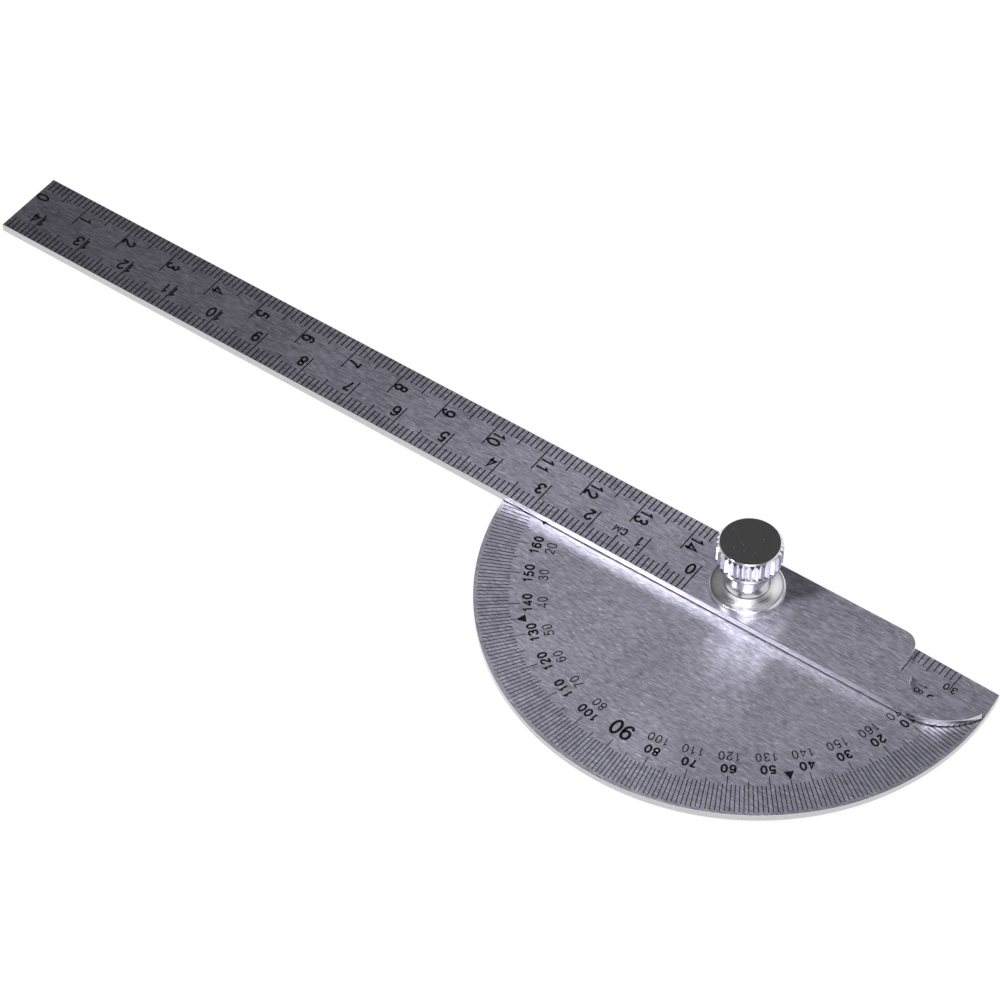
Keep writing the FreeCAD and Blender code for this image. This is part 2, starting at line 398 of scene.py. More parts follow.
@dataclass(frozen=True)
class BrightPlate:
    """Bright nickel plate over turned metal."""

    name: str
    body: Colour
    dull: Colour
    roughness: tuple[float, float] = (0.07, 0.14)
    ring_width: float = 0.07 * MM
    relief: float = 0.05

    def make(self, book: FinishBook) -> bpy.types.Material:
        """Make the material.

        Args:
            book: The book with the shared turning group.

        Returns:
            The material.
        """
        material, tree, shader, lathe = book.start(self.name, book.turning,
                                                   {"Ring Width": self.ring_width})
        ring = lathe.outputs["Ring"]
        rough = tree.spread(ring, 0.0, 1.0, *self.roughness)
        worn = tree.times(lathe.outputs["Speck"], SPECK_ROUGHNESS)
        tree.feed(shader, {
            "Base Color": tree.mix_colour(ring, self.body, self.dull),
            "Roughness": tree.calculate("ADD", rough, worn, clamp=True),
            "Metallic": 1.0})
        book.relief(tree, shader, lathe, self.relief)
        return material


@dataclass(frozen=True)
class EngravedInk:
    """Black filling in the engraved lines and numbers, thin where the brush caught it."""

    name: str
    body: Colour
    worn: Colour
    roughness: tuple[float, float] = (0.5, 0.7)
    hair_width: float = 0.12 * MM
    hair_length: float = 0.5 * MM
    sheen: float = 0.1
    relief: float = 0.2

    def make(self, book: FinishBook) -> bpy.types.Material:
        """Make the material.

        Args:
            book: The book with the shared brushing group.

        Returns:
            The material.
        """
        material, tree, shader, grain = book.start(self.name, book.brushing, {
            "Hair Width": self.hair_width, "Hair Length": self.hair_length, "Scratches": 1.0})
        tree.feed(shader, {
            "Base Color": tree.mix_colour(grain.outputs["Scratch"], self.body, self.worn),
            "Roughness": tree.spread(grain.outputs["Cloud"], 0.0, 1.0, *self.roughness),
            "Specular IOR Level": self.sheen})
        book.relief(tree, shader, grain, self.relief)
        return material


FACE_STEEL = BrushedSteel("brushed_face_steel", (0.27, 0.262, 0.33), (0.68, 0.66, 0.80),
                          (0.96, 0.95, 1.0), (0.34, 0.36), anisotropy=0.93, scratches=0.8)
EDGE_STEEL = BrushedSteel("ground_edge_steel", (0.48, 0.475, 0.49), (0.64, 0.635, 0.65),
                          (0.82, 0.82, 0.83), (0.12, 0.18), hair_width=0.05 * MM,
                          hair_length=0.25 * MM, relief=0.1)
# Painted shade: a near-black steel for the contact lines at the foot of the blade's walls, and for the
# nut's collar foot, lip underside and groove.
PAINTED_SHADE_STEEL = BrushedSteel("painted_shade_steel", (0.03, 0.03, 0.035), (0.06, 0.06, 0.065),
                          (0.1, 0.1, 0.1), (0.6, 0.7), hair_length=0.4 * MM)
BOLT_STEEL = BrightPlate("turned_bolt_steel", (0.55, 0.54, 0.55), (0.46, 0.45, 0.46),
                         roughness=(0.22, 0.34), ring_width=0.12 * MM, relief=0.15)
NUT_PLATE = BrightPlate("bright_nut_plate", (0.87, 0.87, 0.90), (0.83, 0.83, 0.86))
WASHER_PLATE = BrightPlate("bright_washer_plate", (0.83, 0.82, 0.86), (0.78, 0.77, 0.81),
                           roughness=(0.20, 0.30))
BLACK_INK = EngravedInk("black_scale_ink", (0.006, 0.006, 0.008), (0.022, 0.021, 0.026))


# ---------------------------------------------------------------- mesh building


TURNED_SLICES = 160
LEVEL = 0.999
STEEP = 0.5
FLAT_ANGLE = 0.5
TOUCH = 1e-7


def new_piece(name: str, data: bpy.types.ID) -> bpy.types.Object:
    """Put a mesh, a lamp or a camera into the scene.

    Args:
        name: The object's name.
        data: What it shows.

    Returns:
        The object, at the origin.
    """
    piece = bpy.data.objects.new(name, data)
    bpy.context.scene.collection.objects.link(piece)
    return piece


def to_mesh(solid: bmesh.types.BMesh, name: str) -> bpy.types.Mesh:
    """Move a finished solid into a new mesh.

    Args:
        solid: The solid, which is freed.
        name: The mesh's name.

    Returns:
        The mesh.
    """
    mesh = bpy.data.meshes.new(name)
    solid.to_mesh(mesh)
    solid.free()
    return mesh


def smooth(mesh: bpy.types.Mesh, angle: float) -> None:
    """Shade a mesh smooth, but keep its level faces flat.

    Args:
        mesh: The mesh.
        angle: Edges sharper than this, in degrees, stay crisp.
    """
    mesh.shade_smooth()
    mesh.set_sharp_from_angle(angle=math.radians(angle))
    for face in mesh.polygons:
        face.use_smooth = abs(face.normal.z) < LEVEL


def bevel_edges(piece: bpy.types.Object, width: float, segments: int = 3, angle: float = 20.0) -> None:
    """Break a piece's sharp edges with a small round.

    Args:
        piece: The object.
        width: The round's width in metres.
        segments: The round's steps.
        angle: Only edges sharper than this, in degrees, are rounded.
    """
    bevel = piece.modifiers.new("broken_edges", "BEVEL")
    bevel.width = width
    bevel.segments = segments
    bevel.limit_method = "ANGLE"
    bevel.angle_limit = math.radians(angle)
    bevel.harden_normals = True
    bevel.use_clamp_overlap = True


def arc(centre: Point, radius: float, start: float, stop: float, steps: int) -> list[Point]:
    """Return points along an arc.

    Args:
        centre: The arc's centre.
        radius: Its radius.
        start: Its first angle in degrees.
        stop: Its last angle in degrees.
        steps: How many chords it has.

    Returns:
        The points, both ends included.
    """
    turns = [math.radians(start + (stop - start) * i / steps) for i in range(steps + 1)]
    return [(centre[0] + radius * math.cos(a), centre[1] + radius * math.sin(a)) for a in turns]


def skin(solid: bmesh.types.BMesh, loops: Sequence[Sequence[bmesh.types.BMVert]], closed: bool = False,
         shaded_bands: Sequence[int] = ()) -> None:
    """Join a row of corner loops with bands of faces into one closed solid.

    Args:
        solid: The mesh that takes the faces.
        loops: The loops, with one number of corners; a loop may hold one corner many times.
        closed: Whether the last loop joins the first; if not, both ends are capped.
        shaded_bands: The bands, counted from 0, that take material slot 1.
    """
    count = len(loops[0])
    pairs = list(zip(loops, [*loops[1:], loops[0]]))
    for band, (lower, upper) in enumerate(pairs if closed else pairs[:-1]):
        for i in range(count):
            after = (i + 1) % count
            corners = list(dict.fromkeys((lower[i], lower[after], upper[after], upper[i])))
            if len(corners) > 2:
                # Bands in the given set take slot 1, which the nut fills with painted shade.
                solid.faces.new(corners).material_index = int(band in shaded_bands)
    if not closed:
        solid.faces.new(loops[0][::-1])
        solid.faces.new(loops[-1])


def plate_mesh(name: str, outline: Sequence[Point], hole: Sequence[Point], low: float, high: float,
               lip: float, foot: float = 0.0, reach: float = 0.0) -> bpy.types.Mesh:
    """Build a flat plate with one hole: faces in material slot 0, walls in 1, and their foot in 2,
    which is painted contact shade.

    Args:
        name: The mesh's name.
        outline: The outer loop, anticlockwise.
        hole: The hole's loop.
        low: The underside's height.
        high: The top's height.
        lip: The width of the rounded top edges.
        foot: The height of the walls' foot that carries the painted shade, or 0 for none.
        reach: The foot's painted shade ends this far from the pivot.

    Returns:
        The mesh.
    """
    sheet = bmesh.new()
    edges = []
    for loop in (outline, hole):
        corners = [sheet.verts.new((x, y, low)) for x, y in loop]
        edges += [sheet.edges.new((corners[i - 1], corners[i])) for i in range(len(corners))]
    bmesh.ops.triangle_fill(sheet, edges=edges, use_beauty=True, use_dissolve=False)
    grown = bmesh.ops.extrude_face_region(sheet, geom=list(sheet.faces), use_keep_orig=True)["geom"]
    bmesh.ops.translate(sheet, verts=[v for v in grown if isinstance(v, bmesh.types.BMVert)],
                        vec=UP * (high - low))
    if foot:
        bmesh.ops.bisect_plane(sheet, geom=[*sheet.verts, *sheet.edges, *sheet.faces], dist=TOUCH,
                               plane_co=UP * (low + foot), plane_no=UP)
    bmesh.ops.recalc_face_normals(sheet, faces=sheet.faces)
    flat = [face for face in sheet.faces if abs(face.normal.z) > STEEP]
    # Walls take slot 1; the low band of wall near the pivot takes slot 2, painted shade for the dark
    # contact line where the wall meets the plate below.
    for face in sheet.faces:
        if abs(face.normal.z) < STEEP:
            middle = face.calc_center_median()
            sunk = middle.z < low + foot and middle.xy.length < reach
            face.material_index = 2 if sunk else 1
    inner = list(dict.fromkeys(edge for face in flat for edge in face.edges))
    bmesh.ops.dissolve_limit(sheet, angle_limit=math.radians(FLAT_ANGLE), use_dissolve_boundaries=False,
                             verts=sheet.verts, edges=inner)
    rims = [edge for edge in sheet.edges
            if all(abs(v.co.z - high) < TOUCH for v in edge.verts)
            and any(abs(face.normal.z) < STEEP for face in edge.link_faces)]
    bmesh.ops.bevel(sheet, geom=rims, offset=lip, segments=2, profile=0.5, affect="EDGES",
                    clamp_overlap=True, material=1)
    return to_mesh(sheet, name)


def turned_mesh(name: str, profile: Sequence[Point], slices: int = TURNED_SLICES,
                shaded_bands: Sequence[int] = ()) -> bpy.types.Mesh:
    """Revolve a closed half profile of radius and height about the pivot axis.

    Args:
        name: The mesh's name.
        profile: Corners going round the section; a radius of 0 is a point on the axis.
        slices: How many slices the turning has.
        shaded_bands: Corners whose band, up to the next corner, takes material slot 1.

    Returns:
        The mesh, with its faces pointing outwards.
    """
    solid = bmesh.new()
    rings = []
    for radius, height in profile:
        if radius:
            spots = arc(PIVOT, radius, 0.0, 360.0 * (slices - 1) / slices, slices - 1)
            rings.append([solid.verts.new((x, y, height)) for x, y in spots])
        else:
            rings.append([solid.verts.new((*PIVOT, height))] * slices)
    skin(solid, rings, True, shaded_bands)
    bmesh.ops.recalc_face_normals(solid, faces=solid.faces)
    return to_mesh(solid, name)


def absorb(piece: bpy.types.Object, meshes: Iterable[bpy.types.Mesh]) -> None:
    """Add plain meshes to a piece's own mesh.

    Args:
        piece: The object whose mesh grows.
        meshes: The meshes to add; they are deleted afterwards.
    """
    whole = bmesh.new()
    whole.from_mesh(piece.data)
    for mesh in meshes:
        whole.from_mesh(mesh)
        bpy.data.meshes.remove(mesh)
    whole.to_mesh(piece.data)
    whole.free()


def dress(piece: bpy.types.Object, body: str, slot: str, *materials: bpy.types.Material) -> None:
    """Give a piece its materials and its body.

    Args:
        piece: The finished piece.
        body: The body that it rides on.
        slot: The record's material slot; not used.
        *materials: The materials, in slot order.
    """
    slots = piece.data.materials
    while len(slots) > len(materials):
        slots.pop()
    for i, material in enumerate(materials):
        if i < len(slots):
            slots[i] = material
        else:
            slots.append(material)
    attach(piece, body)
    LOG.info("%s rides on %s, %d faces", piece.name, body, len(piece.data.polygons))


# ---------------------------------------------------------------- what repeats


class GeometryTree(NodeTree):
    """A geometry node tree with named inputs, run on an empty mesh and made a plain mesh."""

    def __init__(self, name: str, inputs: dict[str, float]) -> None:
        """Start the tree.

        Args:
            name: The tree's name.
            inputs: Its inputs, each with a default; a whole number makes a whole-number input.
        """
        super().__init__(bpy.data.node_groups.new(name, "GeometryNodeTree"))
        kinds = {label: "NodeSocketInt" if isinstance(default, int) else "NodeSocketFloat"
                 for label, default in inputs.items()}
        self.ids: dict[str, str] = {}
        for label, kind in (*kinds.items(), ("Material", "NodeSocketMaterial")):
            socket = self.tree.interface.new_socket(label, in_out="INPUT", socket_type=kind)
            self.ids[label] = socket.identifier
            if label in inputs:
                socket.default_value = inputs[label]
        self.tree.interface.new_socket("Geometry", in_out="OUTPUT", socket_type="NodeSocketGeometry")
        self.source = self.add("NodeGroupInput")

    def given(self, name: str) -> bpy.types.NodeSocket:
        """Return one of the tree's inputs as a socket."""
        return self.source.outputs[name]

    def repeat(self, shape: bpy.types.NodeSocket, places: dict[str, object],
               **placing: bpy.types.NodeSocket) -> None:
        """End the tree: put a shape on the given count of points, make it real and dress it.

        Args:
            shape: The shape's socket.
            places: The Position of the points, or nothing for points at the origin.
            **placing: The Rotation, and the Scale if there is one, of each copy.
        """
        points = self.add("GeometryNodePoints", {"Count": self.given("Count"), **places})
        copies = self.add("GeometryNodeInstanceOnPoints",
                          {"Points": points.outputs[0], "Instance": shape, **placing})
        real = self.add("GeometryNodeRealizeInstances", {"Geometry": copies.outputs[0]})
        dressed = self.add("GeometryNodeSetMaterial",
                           {"Geometry": real.outputs[0], "Material": self.given("Material")})
        self.add("NodeGroupOutput", {"Geometry": dressed.outputs[0]})

    def run(self, name: str, values: dict[str, float], material: bpy.types.Material) -> bpy.types.Mesh:
        """Run the tree with these inputs.

        Args:
            name: The resulting mesh's name.
            values: The inputs' values.
            material: The material of the result.

        Returns:
            A plain mesh.
        """
        carrier = new_piece(name + "_carrier", bpy.data.meshes.new(name + "_carrier"))
        modifier = carrier.modifiers.new(name, "NODES")
        modifier.node_group = self.tree
        for label, value in {**values, "Material": material}.items():
            modifier[self.ids[label]] = value
        bpy.context.view_layer.update()
        depsgraph = bpy.context.evaluated_depsgraph_get()
        mesh = bpy.data.meshes.new_from_object(carrier.evaluated_get(depsgraph), depsgraph=depsgraph)
        mesh.name = name
        carrier.modifiers.remove(modifier)
        bpy.data.objects.remove(carrier)
        return mesh


def make_tick_tree() -> GeometryTree:
    """Make the tree that lays out a scale's lines, along an edge or round an arc.

    Returns:
        The tree. Each line starts on the scale's edge and runs inwards; every fifth and every
        tenth is longer.
    """
    tree = GeometryTree("scale_lines", {"Count": 10, "First": 0, **dict.fromkeys((
        "Start X", "Start Y", "Step", "Radius", "Angle Step", "Inward", "Short", "Middle", "Long",
        "Width", "Low", "Depth"), 0.0)})
    given, plus, times = tree.given, tree.plus, tree.times

    def gain(every: float, usual: str, longer: str) -> bpy.types.NodeSocket:
        """Work out how much longer every so-many-th line is.

        Args:
            every: How many lines apart they are.
            usual: The input with the other lines' length.
            longer: The input with their own length.

        Returns:
            The extra length's socket, which is 0 for the other lines.
        """
        rest = tree.calculate("FLOORED_MODULO", number, every)
        hit = tree.calculate("LESS_THAN", rest, 0.5)
        return times(hit, tree.calculate("SUBTRACT", given(longer), given(usual)))

    number = plus(tree.add("GeometryNodeInputIndex").outputs[0], given("First"))
    angle = times(number, given("Angle Step"))
    x = plus(plus(given("Start X"), times(number, given("Step"))),
             times(given("Radius"), tree.calculate("COSINE", angle)))
    y = plus(given("Start Y"), times(given("Radius"), tree.calculate("SINE", angle)))
    length = plus(given("Short"), plus(gain(5.0, "Short", "Middle"), gain(10.0, "Middle", "Long")))
    bar = tree.add("GeometryNodeMeshCube", {"Size": (1.0, 1.0, 1.0)})
    shifted = tree.add("GeometryNodeTransform", {"Geometry": bar.outputs[0],
                                                 "Translation": (0.5, 0.0, 0.5)})
    tree.repeat(shifted.outputs[0], {"Position": tree.join(x, y, given("Low"))},
                Rotation=tree.join(z=plus(angle, given("Inward"))),
                Scale=tree.join(length, given("Width"), given("Depth")))
    return tree


def make_ring_tree(ridge: bpy.types.Object) -> GeometryTree:
    """Make the tree that repeats a ridge around the pivot axis.

    Args:
        ridge: The object with one ridge, in place.

    Returns:
        The tree, with its count of ridges as an input.
    """
    tree = GeometryTree("knurl_ring", {"Count": 34})
    index = tree.add("GeometryNodeInputIndex").outputs[0]
    turn = tree.calculate("DIVIDE", tree.times(index, math.tau), tree.given("Count"))
    shape = tree.add("GeometryNodeObjectInfo", {"Object": ridge})
    tree.repeat(shape.outputs["Geometry"], {}, Rotation=tree.join(z=turn))
    return tree


class Inward(Enum):
    """Which way a scale's lines run from their edge, as an angle in radians."""

    DOWN = -math.pi / 2
    UPWARD = math.pi / 2
    CENTRE = math.pi


@dataclass(frozen=True)
class LineSizes:
    """How long a scale's plain, fifth and tenth lines are, and how wide all of them."""

    short: float
    middle: float
    long: float
    width: float


@dataclass(frozen=True)
class Scale:
    """One row of lines: how many, how large, where, and which way they run."""

    count: int
    start: Point
    inward: Inward
    sizes: LineSizes
    first: int = 0
    step: float = 0.0
    radius: float = 0.0
    angle_step: float = 0.0

    def build(self, name: str, tree: GeometryTree, low: float, depth: float,
              ink: bpy.types.Material) -> bpy.types.Mesh:
        """Lay the row out with the scale tree.

        Args:
            name: The mesh's name.
            tree: The tree that lays out lines.
            low: The lines' lowest height.
            depth: Their thickness.
            ink: Their material.

        Returns:
            The row as a plain mesh.
        """
        return tree.run(name, {
            "Count": self.count, "First": self.first, "Start X": self.start[0],
            "Start Y": self.start[1], "Step": self.step, "Radius": self.radius,
            "Angle Step": self.angle_step, "Inward": self.inward.value, "Short": self.sizes.short,
            "Middle": self.sizes.middle, "Long": self.sizes.long, "Width": self.sizes.width,
            "Low": low, "Depth": depth}, ink)


# ---------------------------------------------------------------- engraved numbers


CURVE_STEPS = 5
FIGURE_WIDTH = 0.6
WIDE_LETTER = 0.76
TURNS_BACK = 1e-6
MITRE_LIMIT = 0.5


@dataclass(frozen=True)
class Stroke:
    """One pen stroke of a character, in units of its height."""

    points: tuple[Point, ...]
    curved: bool = False
    closed: bool = False

    def path(self) -> list[Vector]:
        """Make the stroke's path.

        Returns:
            Its points, rounded through its corners if it is curved.
        """
        knots = [Vector(p) for p in self.points]
        if not self.curved:
            return knots
        path = []
        for i in range(len(knots) if self.closed else len(knots) - 1):
            quad = [self._knot(knots, i + k) for k in (-1, 0, 1, 2)]
            path += [self._blend(quad, step / CURVE_STEPS) for step in range(CURVE_STEPS)]
        return path if self.closed else path + [knots[-1]]

    def _knot(self, knots: Sequence[Vector], index: int) -> Vector:
        """Pick a knot, wrapping round a closed stroke and holding an open one's ends.

        Args:
            knots: The stroke's knots.
            index: The knot's place, which may lie outside the row.

        Returns:
            The knot.
        """
        if self.closed:
            return knots[index % len(knots)]
        return knots[min(max(index, 0), len(knots) - 1)]

    @staticmethod
    def _blend(quad: Sequence[Vector], part: float) -> Vector:
        """Blend four knots into a Catmull-Rom point.

        Args:
            quad: The four knots in a row.
            part: How far the point lies from the second knot to the third, from 0 to 1.

        Returns:
            The point.
        """
        a, b, c, d = quad
        square = part * part
        return 0.5 * (2 * b + (c - a) * part + (2 * a - 5 * b + 4 * c - d) * square
                      + (3 * b - a - 3 * c + d) * square * part)


def oval(centre: Point, half_width: float, half_height: float) -> Stroke:
    """Return a closed oval stroke."""
    loop = arc(PIVOT, 1.0, 0.0, 330.0, 11)
    return Stroke(tuple((centre[0] + half_width * x, centre[1] + half_height * y) for x, y in loop),
                  curved=True, closed=True)


SIX = ((0.53, 0.80), (0.45, 0.95), (0.31, 1.0), (0.12, 0.87), (0.04, 0.55), (0.06, 0.23), (0.15, 0.05),
       (0.31, 0.0), (0.48, 0.08), (0.55, 0.31), (0.48, 0.54), (0.31, 0.62), (0.14, 0.54), (0.05, 0.38))
LETTERS: dict[str, tuple[Stroke, ...]] = {
    "0": (oval((0.3, 0.5), 0.26, 0.5),),
    "1": (Stroke(((0.14, 0.74), (0.37, 1.0), (0.37, 0.0))),),
    "2": (Stroke(((0.05, 0.71), (0.11, 0.91), (0.30, 1.0), (0.48, 0.92), (0.55, 0.73), (0.46, 0.50),
                  (0.24, 0.27), (0.06, 0.0)), curved=True), Stroke(((0.03, 0.0), (0.57, 0.0)))),
    "3": (Stroke(((0.05, 0.78), (0.14, 0.95), (0.29, 1.0), (0.46, 0.93), (0.51, 0.76), (0.42, 0.58),
                  (0.24, 0.53)), curved=True),
          Stroke(((0.24, 0.53), (0.45, 0.48), (0.55, 0.28), (0.48, 0.08), (0.29, 0.0), (0.11, 0.06),
                  (0.03, 0.24)), curved=True)),
    "4": (Stroke(((0.43, 0.0), (0.43, 1.0), (0.03, 0.3), (0.6, 0.3))),),
    "5": (Stroke(((0.53, 1.0), (0.14, 1.0), (0.07, 0.47))),
          Stroke(((0.07, 0.47), (0.20, 0.59), (0.35, 0.62), (0.51, 0.51), (0.55, 0.31), (0.47, 0.08),
                  (0.27, 0.0), (0.10, 0.07), (0.03, 0.23)), curved=True)),
    "6": (Stroke(SIX, curved=True),),
    "7": (Stroke(((0.04, 1.0), (0.57, 1.0))),
          Stroke(((0.56, 1.0), (0.38, 0.68), (0.27, 0.35), (0.22, 0.0)), curved=True)),
    "8": (oval((0.3, 0.77), 0.2, 0.23), oval((0.3, 0.27), 0.25, 0.27)),
    "9": (Stroke(tuple((0.59 - x, 1.0 - y) for x, y in SIX), curved=True),),
    "C": (Stroke(((0.58, 0.72), (0.47, 0.94), (0.30, 1.0), (0.12, 0.9), (0.04, 0.5), (0.12, 0.1),
                  (0.30, 0.0), (0.47, 0.06), (0.58, 0.28)), curved=True),),
    "M": (Stroke(((0.06, 0.0), (0.06, 1.0), (0.38, 0.2), (0.70, 1.0), (0.70, 0.0))),),
}


@dataclass(frozen=True)
class Lettering:
    """How a row of numbers is cut: its height, pen and spacing, in metres and heights."""

    height: float
    pen: float
    width: float = FIGURE_WIDTH
    gap: float = 0.14

    def advance(self, letter: str) -> float:
        """Return how far a character moves the next one along, in metres."""
        wide = WIDE_LETTER if letter == "M" else self.width
        return (wide + self.gap) * self.height

    def length(self, text: str) -> float:
        """Return the length of a text in metres."""
        return sum(self.advance(letter) for letter in text) - self.gap * self.height


class Engraving:
    """Collects thin black lines and numbers on a face, and turns them into one mesh."""

    PROUD = 0.008 * MM
    SUNK = 0.004 * MM

    def __init__(self, height: float) -> None:
        """Start an empty engraving.

        Args:
            height: The height of the face that it lies on.
        """
        self.low = height - self.SUNK
        self.high = height + self.PROUD
        self.solid = bmesh.new()

    def write(self, text: str, style: Lettering, start: Point, angle: float) -> None:
        """Write a text.

        Args:
            text: The characters.
            style: Their size and pen.
            start: The left end of their base line.
            angle: The base line's direction in degrees.
        """
        place = Matrix.Translation((*start, 0.0)) @ Matrix.Rotation(math.radians(angle), 4, "Z")
        wide = style.height * style.width / FIGURE_WIDTH
        along = 0.0
        for letter in text:
            for stroke in LETTERS[letter]:
                path = [place @ Vector((along + p.x * wide, p.y * style.height, 0.0))
                        for p in stroke.path()]
                self.ribbon([p.to_2d() for p in path], style.pen, stroke.closed)
            along += style.advance(letter)

    def ribbon(self, path: Sequence[Vector], pen: float, closed: bool) -> None:
        """Draw a flat line of even width as a thin closed solid.

        Args:
            path: The line's middle.
            pen: Its width.
            closed: Whether it runs back into its start.
        """
        section = ((-1, self.low), (1, self.low), (1, self.high), (-1, self.high))
        sections = []
        for i, here in enumerate(path):
            before = path[i - 1] if closed or i else None
            after = path[(i + 1) % len(path)] if closed or i < len(path) - 1 else None
            side = self._side(before, here, after) * pen / 2
            sections.append([self.solid.verts.new((*(here + side * s), z)) for s, z in section])
        skin(self.solid, sections, closed)

    @staticmethod
    def _side(before: Optional[Vector], here: Vector, after: Optional[Vector]) -> Vector:
        """Find the sideways vector at a point of a path.

        Args:
            before: The point before, or None at the start.
            here: The point.
            after: The point after, or None at the end.

        Returns:
            The vector, longer round a corner so that the width stays even.
        """
        if before is None or after is None:
            way = ((after or here) - (before or here)).normalized()
            return Vector((-way.y, way.x))
        first = (here - before).normalized()
        both = first + (after - here).normalized()
        middle = both.normalized() if both.length > TURNS_BACK else first
        side = Vector((-middle.y, middle.x))
        return side / max(side.dot(Vector((-first.y, first.x))), MITRE_LIMIT)

    def wedge(self, corners: Sequence[Point]) -> None:
        """Fill a small convex outline, such as a pointer."""
        skin(self.solid, [[self.solid.verts.new((*p, z)) for p in corners]
                          for z in (self.low, self.high)])

    def finish(self, name: str, rows: Sequence[Scale], lines: GeometryTree, ink: bpy.types.Material,
               turn: float = 0.0) -> bpy.types.Object:
        """Join the numbers with rows of lines and turn the whole about the pivot.

        Args:
            name: The object's name.
            rows: The rows of lines.
            lines: The tree that lays them out.
            ink: Their material.
            turn: The angle about the pivot, in radians.

        Returns:
            The engraving as one object.
        """
        bmesh.ops.recalc_face_normals(self.solid, faces=self.solid.faces)
        marks = new_piece(name, to_mesh(self.solid, name))
        absorb(marks, [row.build(f"{name}_{i}", lines, self.low, self.high - self.low, ink)
                       for i, row in enumerate(rows)])
        marks.data.transform(Matrix.Rotation(turn, 4, "Z"))
        return marks


# ---------------------------------------------------------------- the protractor's sub-assemblies


@dataclass
class ProtractorHead:
    """The half-round head with its degree scale, pointers and edge scale."""

    book: FinishBook
    lines: GeometryTree
    radius: float = 44.5 * MM
    edge: float = 7.0 * MM
    neck: float = 2.25 * MM
    lip: float = 0.08 * MM
    scale_radius: float = 43.9 * MM
    degree_lines: LineSizes = LineSizes(5.2 * MM, 6.0 * MM, 6.9 * MM, 0.15 * MM)
    edge_lines: LineSizes = LineSizes(2.2 * MM, 2.9 * MM, 3.96 * MM, 0.18 * MM)
    outer_numbers: Lettering = Lettering(1.42 * MM, 0.35 * MM, 0.68, 0.28)
    inner_numbers: Lettering = Lettering(1.5 * MM, 0.2 * MM, 0.62, 0.24)
    right_angle: Lettering = Lettering(2.6 * MM, 0.50 * MM, 0.62, 0.16)
    edge_numbers: Lettering = Lettering(1.2 * MM, 0.24 * MM, 0.68, 0.5)
    outer_base: float = 34.95 * MM
    inner_base: float = 32.45 * MM
    right_angle_base: float = 33.4 * MM
    pointers: tuple[int, ...] = (45, 135)
    pointer_tip: float = 37.9 * MM
    pointer_size: float = 1.65 * MM
    edge_reach: int = 30
    edge_drop: float = 2.95 * MM
    zero_shift: float = 0.35 * MM

    def __post_init__(self) -> None:
        """Read the plate's heights and its turn about the pivot from the frame."""
        low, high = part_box("protractor_head")
        self.low = low.z
        self.high = high.z
        edge = next(m for m in frame["record"]["mounts"] if m["name"] == "reference_edge")
        self.turn = math.atan2(-edge["axis"][0], edge["axis"][1])

    def build(self) -> None:
        """Build the plate and its engraving, and put them in place of the CAD plate."""
        plate = new_piece("head_plate", self._plate())
        dress(plate, "head", "head_steel", FACE_STEEL.make(self.book), EDGE_STEEL.make(self.book))
        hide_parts("protractor_head")
        self._engrave()

    def _plate(self) -> bpy.types.Mesh:
        """Make the half-round plate with its square hole.

        Returns:
            Its mesh, turned about the pivot.
        """
        side = math.degrees(math.asin(self.edge / self.radius))
        outline = arc(PIVOT, self.radius, -180.0 - side, side, 240)
        square = [(-self.neck, -self.neck), (self.neck, -self.neck), (self.neck, self.neck),
                  (-self.neck, self.neck)]
        mesh = plate_mesh("head_plate", outline, square, self.low, self.high, self.lip)
        mesh.transform(Matrix.Rotation(self.turn, 4, "Z"))
        smooth(mesh, 20.0)
        return mesh

    def _engrave(self) -> None:
        """Cut every line, number and pointer on the head's top face."""
        ink = BLACK_INK.make(self.book)
        cut = Engraving(self.high)
        for degrees in range(0, 181, 10):
            self._number_degree(cut, degrees)
        for degrees in self.pointers:
            foot = self.pointer_tip - self.pointer_size
            cut.wedge([self._on_spoke(degrees, self.pointer_tip),
                       self._on_spoke(degrees, foot, self.pointer_size / 2),
                       self._on_spoke(degrees, foot, -self.pointer_size / 2)])
        for side in (-1, 1):
            for value in range(0, self.edge_reach + 1, 10):
                self._number_edge(cut, side, value)
        marks = cut.finish("head_scale", self._rows(), self.lines, ink, self.turn)
        dress(marks, "head", "head_steel", ink)

    def _rows(self) -> list[Scale]:
        """List the rows of lines.

        Returns:
            The degree scale and the two halves of the straight edge's millimetre scale.
        """
        degrees = Scale(181, PIVOT, Inward.CENTRE, self.degree_lines, radius=self.scale_radius,
                        angle_step=-math.radians(1.0))
        halves = [Scale(self.edge_reach + 1, (side * self.edge, self.edge - self.lip), Inward.DOWN,
                        self.edge_lines, step=side * MM) for side in (-1, 1)]
        return [degrees, *halves]

    @staticmethod
    def _on_spoke(degrees: float, radius: float, aside: float = 0.0) -> Point:
        """Find a point by a spoke of the degree scale.

        Args:
            degrees: The spoke, counted clockwise from +X.
            radius: The point's distance from the pivot, along the spoke.
            aside: How far it lies clockwise of the spoke.

        Returns:
            The point.
        """
        spoke = math.radians(-degrees)
        out = Vector((math.cos(spoke), math.sin(spoke)))
        return tuple(out * radius + Vector((out.y, -out.x)) * aside)

    def _number_degree(self, cut: Engraving, degrees: int) -> None:
        """Write a degree's two numbers, or the large right angle, with their tops to the rim.

        Args:
            cut: The engraving.
            degrees: The spoke that they stand across.
        """
        rows = [(str(degrees), self.outer_numbers, self.outer_base),
                (str(180 - degrees), self.inner_numbers, self.inner_base)]
        if degrees == 90:
            rows = [("90", self.right_angle, self.right_angle_base)]
        for text, style, base in rows:
            start = self._on_spoke(degrees, base, -style.length(text) / 2)
            cut.write(text, style, start, -degrees - 90.0)

